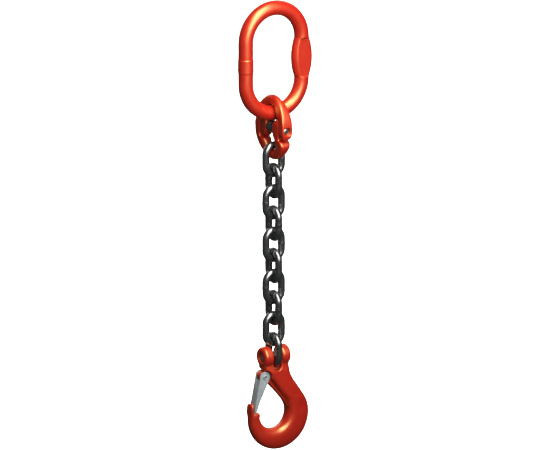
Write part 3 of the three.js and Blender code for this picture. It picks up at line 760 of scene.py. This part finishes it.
def build_clevis_pins(steel, spring_steel):
    half, r = CLEVIS_PIN_HALF, CLEVIS_PIN_R
    groove = RETAINER_R + 0.6
    right = [(r, RETAINER_X - groove - 0.6), (4.1, RETAINER_X - groove), (4.1, RETAINER_X + groove)]
    right += [(r, RETAINER_X + groove + 0.6), (r, half - 1.4), (r - 0.3, half - 0.7)]
    right += [(r - 1.2, half), (0, half)]
    left = [(0, -half), (r - 1.2, -half), (r - 0.3, -half + 0.7), (r, -half + 1.4)]
    pin = turned("clevis_pin", left + right, "x", CLEVIS_PIN)
    hand_over(pin, "clevis_load_pin", "hook", steel)
    outer = arc(0, 0, RETAINER_R, 12, 348, 39)
    inner = arc(0, 0, RETAINER_BORE_R, 344, 16, 39)
    section = np.array(outer + inner)
    rings = []
    for y, grow in ((-4.0, 0.8), (-3.2, 1.0), (11.4, 1.0), (12.2, 0.8)):
        rings.append([(x * grow, y, z * grow) for x, z in section])
    place = CLEVIS_PIN + Vector((RETAINER_X, 0, RETAINER_Z)) * MM
    retainer = loft("rolled_retaining_pin", rings, place)
    hand_over(retainer, "clevis_retaining_pin", "hook", spring_steel)


# ---- Latch

def round_web_edges(obj, radius_mm):
    """Bends the sheet's outside corners: the long edges on the web's side are rounded."""
    bm = bmesh.new()
    bm.from_mesh(obj.data)
    half = LATCH_HALF_WIDTH * MM
    chosen = []
    for edge in bm.edges:
        middle = (edge.verts[0].co + edge.verts[1].co) / 2 - CLEVIS_PIN
        along = abs(edge.verts[0].co.y - edge.verts[1].co.y) < 1e-6
        web_side = middle.x < (PIVOT_X - LATCH_TOP_R + 0.8) * MM
        if along and abs(abs(middle.y) - half) < 1e-6 and web_side and middle.z > -76.9 * MM:
            chosen.append(edge)
    bmesh.ops.bevel(bm, geom=chosen, offset=radius_mm * MM, segments=5, affect="EDGES", profile=0.5)
    bm.to_mesh(obj.data)
    bm.free()


def build_latch(zinc):
    half = LATCH_HALF_WIDTH
    inside = half - LATCH_SHEET
    outline = arc(PIVOT_X, PIVOT_Z, LATCH_TOP_R, -26, 186, 40)
    outline += [(-30.6, -46.0), (-34.2, -63.4), (-36.4, -74.9), (-35.8, -77.4)]
    outline += [(-32.6, -77.4), (-31.2, -74.4), (-28.3, -66.8), (-24.6, -58.4), (-17.6, -43.4)]
    obj = plate("latch_pressing", outline, -half, half, CLEVIS_PIN)
    round_web_edges(obj, 1.7)
    sheet = LATCH_SHEET
    channel = [(-27 + sheet, -32.4), (-34.2 + sheet, -63.4), (-36.4 + sheet, -74.9), (-33.6, -81.4)]
    channel += [(0, -81.4), (0, -11.4), (-45, -11.4), (-45, -32.4)]
    hollow = plate("latch_hollow", channel, -inside, inside, CLEVIS_PIN)
    pivot_hole = drill("y", -half - 1, half + 1, PIVOT_PIN_R + 0.3, PIVOT_X, PIVOT_Z)
    combine(obj, "DIFFERENCE", [hollow, pivot_hole])
    bevel(obj, 0.35, 40, 2)
    return hand_over(obj, "latch", "latch", zinc, 35)


def build_pivot_pin(zinc):
    seat = LATCH_HALF_WIDTH + 0.15
    top = LATCH_HALF_WIDTH + 1.2
    head = [(PIVOT_PIN_R, seat), (3.5, seat), (3.6, seat + 0.2), (3.4, seat + 0.6), (2.9, top - 0.1)]
    head += [(2.6, top), (2.3, top - 0.1), (2.1, top - 0.4), (2.1, top - 6.0), (0, top - 6.2)]
    profile = [(r, -t) for r, t in reversed(head)] + head
    place = CLEVIS_PIN + Vector((PIVOT_X, 0, PIVOT_Z)) * MM
    pin = turned("latch_rivet", profile, "y", place)
    hand_over(pin, "latch_pivot_pin", "hook", zinc)


def spring_point(along):
    """A point on the spring's middle line, this far from the tip of its long leg."""
    coil = (SPRING_START - SPRING_END) * SPRING_COIL_R
    on_coil = min(max(along - SPRING_LONG_LEG, 0), coil)
    past = along - SPRING_LONG_LEG - on_coil
    angle = SPRING_START - on_coil / SPRING_COIL_R
    lead = 1.25 / (TAU * SPRING_COIL_R)
    x = SPRING_COIL_R * math.cos(angle) + past * math.sin(angle)
    z = SPRING_COIL_R * math.sin(angle) - past * math.cos(angle)
    return np.array((x, SPRING_FLOOR_Y + 0.3 + SPRING_WIRE_R + lead * on_coil, z))


def build_spring(spring_steel):
    total = SPRING_LONG_LEG + (SPRING_START - SPRING_END) * SPRING_COIL_R + SPRING_SHORT_LEG
    lengths = np.linspace(0, total, 260)
    points = [spring_point(s) for s in lengths]
    rings = []
    for i, point in enumerate(points):
        ahead, behind = points[min(i + 1, len(points) - 1)], points[max(i - 1, 0)]
        tangent = (ahead - behind) / np.linalg.norm(ahead - behind)
        side = np.cross(tangent, (0, 1, 0))
        side /= np.linalg.norm(side)
        up = np.cross(side, tangent)
        turn = [TAU * k / 14 for k in range(14)]
        rings.append([point + SPRING_WIRE_R * (side * math.cos(a) + up * math.sin(a)) for a in turn])
    pivot = CLEVIS_PIN + Vector((PIVOT_X, 0, PIVOT_Z)) * MM
    obj = loft("torsion_spring", rings, pivot)
    shade(obj, 60)
    obj.data.materials.append(spring_steel)
    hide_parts("latch_spring")
    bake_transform(obj)


# ---- Studio

def aim(obj, target):
    direction = Vector(target) - obj.location
    obj.rotation_euler = direction.to_track_quat("-Z", "Y").to_euler()


def area_light(name, direction, distance, size, power, colour, target):
    light = bpy.data.lights.new(name, "AREA")
    light.shape = "RECTANGLE"
    light.size, light.size_y = size
    light.energy = power
    light.color = colour
    obj = bpy.data.objects.new(name, light)
    obj.location = Vector(target) + Vector(direction).normalized() * distance
    bpy.context.scene.collection.objects.link(obj)
    aim(obj, target)
    return obj


def studio():
    """The camera, the lights, the dim white surroundings and a pale floor that only catches light."""
    low, high = CAD_BOX
    middle = (Vector(low) + Vector(high)) / 2
    azimuth, elevation = math.radians(-32.5), math.radians(15.3)
    view = Vector((math.sin(azimuth) * math.cos(elevation), -math.cos(azimuth) * math.cos(elevation),
                   math.sin(elevation)))
    right = Vector((math.cos(azimuth), math.sin(azimuth), 0))
    seen_width = 0.776      # metres across the picture
    camera_data = bpy.data.cameras.new("camera")
    camera_data.lens = 420
    camera_data.sensor_width = 36
    camera_data.clip_end = 100
    camera = bpy.data.objects.new("camera", camera_data)
    aim_height, aim_shift = -0.3042, 0.0019
    target = Vector((0, 0, aim_height)) + right * aim_shift
    camera.location = target + view * (seen_width * camera_data.lens / camera_data.sensor_width)
    bpy.context.scene.collection.objects.link(camera)
    aim(camera, target)
    bpy.context.scene.camera = camera
    bpy.context.scene.view_settings.view_transform = "Standard"

    area_light("key", (-0.12, -0.86, 0.50), 1.3, (0.9, 0.9), 21, (1.0, 0.97, 0.92), middle)
    area_light("top", (-0.12, -0.42, 0.90), 1.3, (0.6, 0.6), 14, (1.0, 0.95, 0.86), middle)
    area_light("fill", (-1.0, -0.4, 0.2), 2.2, (1.2, 1.8), 0.3, (0.95, 0.97, 1.0), middle)
    area_light("rim", (0.9, 0.7, 0.6), 2.0, (0.8, 1.4), 3, (1.0, 0.98, 0.95), middle)
    area_light("back", (0.2, 0.95, 0.2), 1.8, (1.2, 1.2), 8, (1.0, 0.97, 0.92), middle)

    world = bpy.data.worlds.new("studio")
    world.use_nodes = True
    background = world.node_tree.nodes["Background"]
    background.inputs["Color"].default_value = (1, 1, 1, 1)
    background.inputs["Strength"].default_value = 0.045
    bpy.context.scene.world = world

    mesh = bpy.data.meshes.new("floor")
    floor_gap = 0.12
    half, level = 6.0, low[2] - floor_gap
    corners = [(-half, -half, level), (half, -half, level), (half, half, level), (-half, half, level)]
    mesh.from_pydata(corners, [], [(0, 1, 2, 3)])
    floor = bpy.data.objects.new("floor", mesh)
    mesh.materials.append(floor_material())
    bpy.context.scene.collection.objects.link(floor)

    only_floor = bpy.data.collections.new("only_floor")
    only_floor.objects.link(floor)
    floor.visible_diffuse = False
    floor.visible_glossy = False
    wash = area_light("floor_wash", (0, 0, 1), 3.0, (10.0, 10.0), 1300, (1, 1, 1), (0.0, 0.0, level))
    wash.light_linking.receiver_collection = only_floor


def main():
    paint = paint_material()
    chain = chain_material()
    zinc = zinc_material()
    steel = turned_steel_material()
    spring_steel = spring_steel_material()
    studio()
    build_master_link(paint)
    build_coupler(paint, steel, chain)
    build_chain_links(chain)
    build_hook_body(paint)
    build_clevis_pins(steel, spring_steel)
    build_latch(zinc)
    build_pivot_pin(zinc)
    build_spring(spring_steel)


main()
